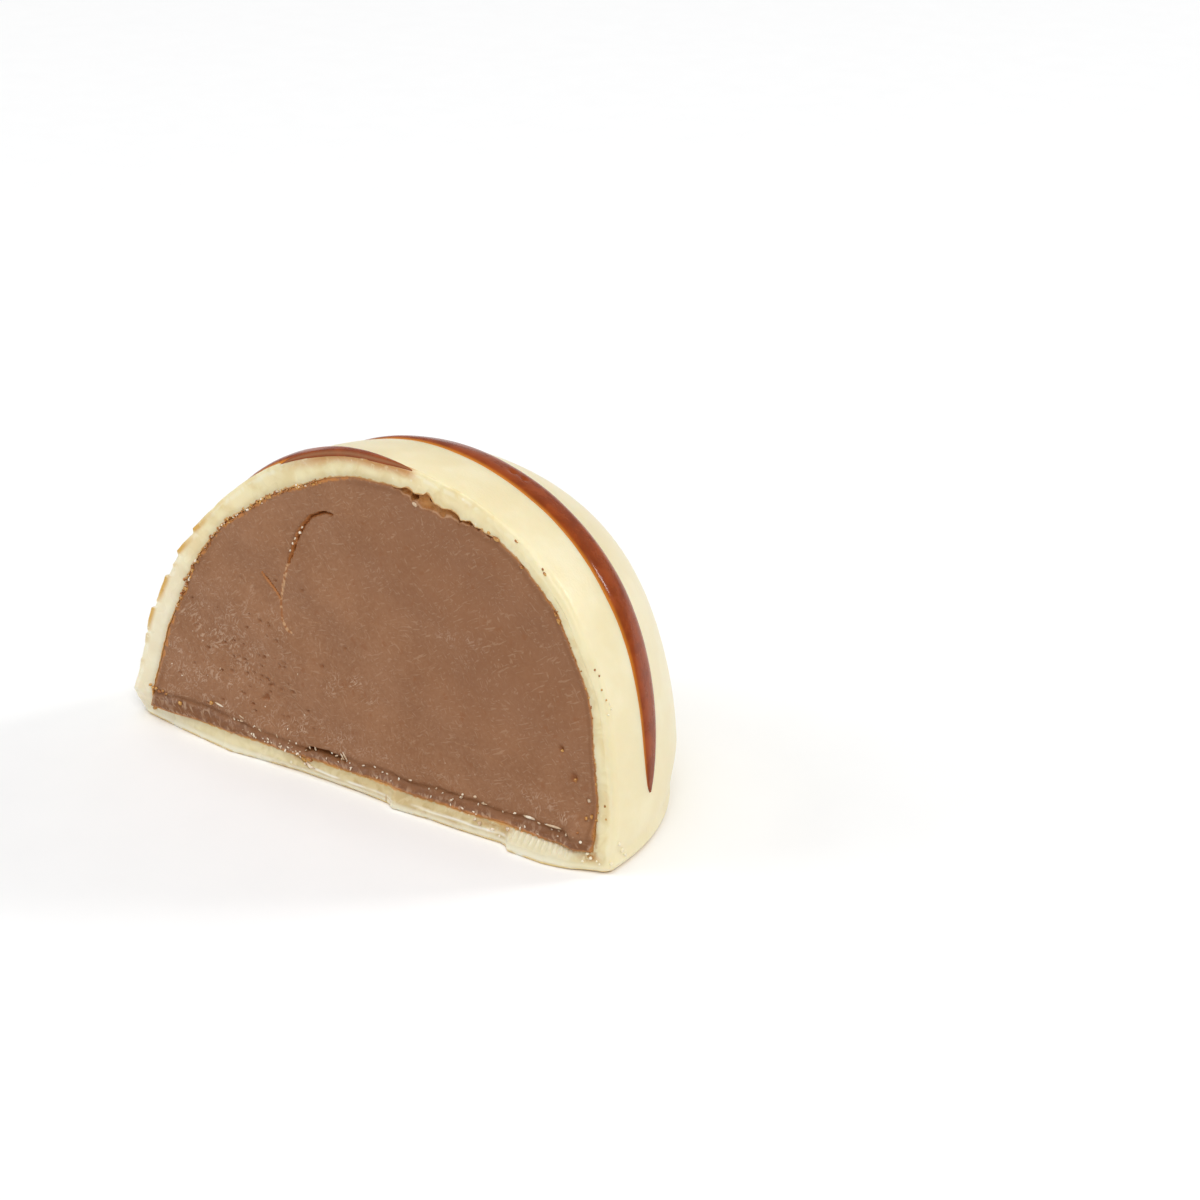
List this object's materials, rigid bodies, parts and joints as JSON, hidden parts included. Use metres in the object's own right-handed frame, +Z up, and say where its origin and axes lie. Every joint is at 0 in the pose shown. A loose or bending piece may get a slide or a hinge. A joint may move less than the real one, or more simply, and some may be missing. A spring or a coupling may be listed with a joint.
{
  "type": "half white chocolate truffle",
  "caption": "Half of a dome-shaped white chocolate truffle, cut to show its milk chocolate filling, with raised dark drizzle stripes over the coat.",
  "frame": {"origin": "on the resting face, below the middle of the half's bounding box", "axes": "+X along the cut edge, +Y from the cut face into the rounded coat, +Z up"},
  "size_m": [0.0306, 0.0172, 0.0178],
  "materials": {
    "white_chocolate": "satin white chocolate, cream coloured, slightly translucent",
    "filling": "soft milk chocolate filling, cut smooth, matt with a faint sheen",
    "drizzle": "glossy reddish dark chocolate with thin lighter edges"
  },
  "bodies": {
    "root": {"shell": "white_chocolate", "filling": "filling"}
  },
  "joints": []
}
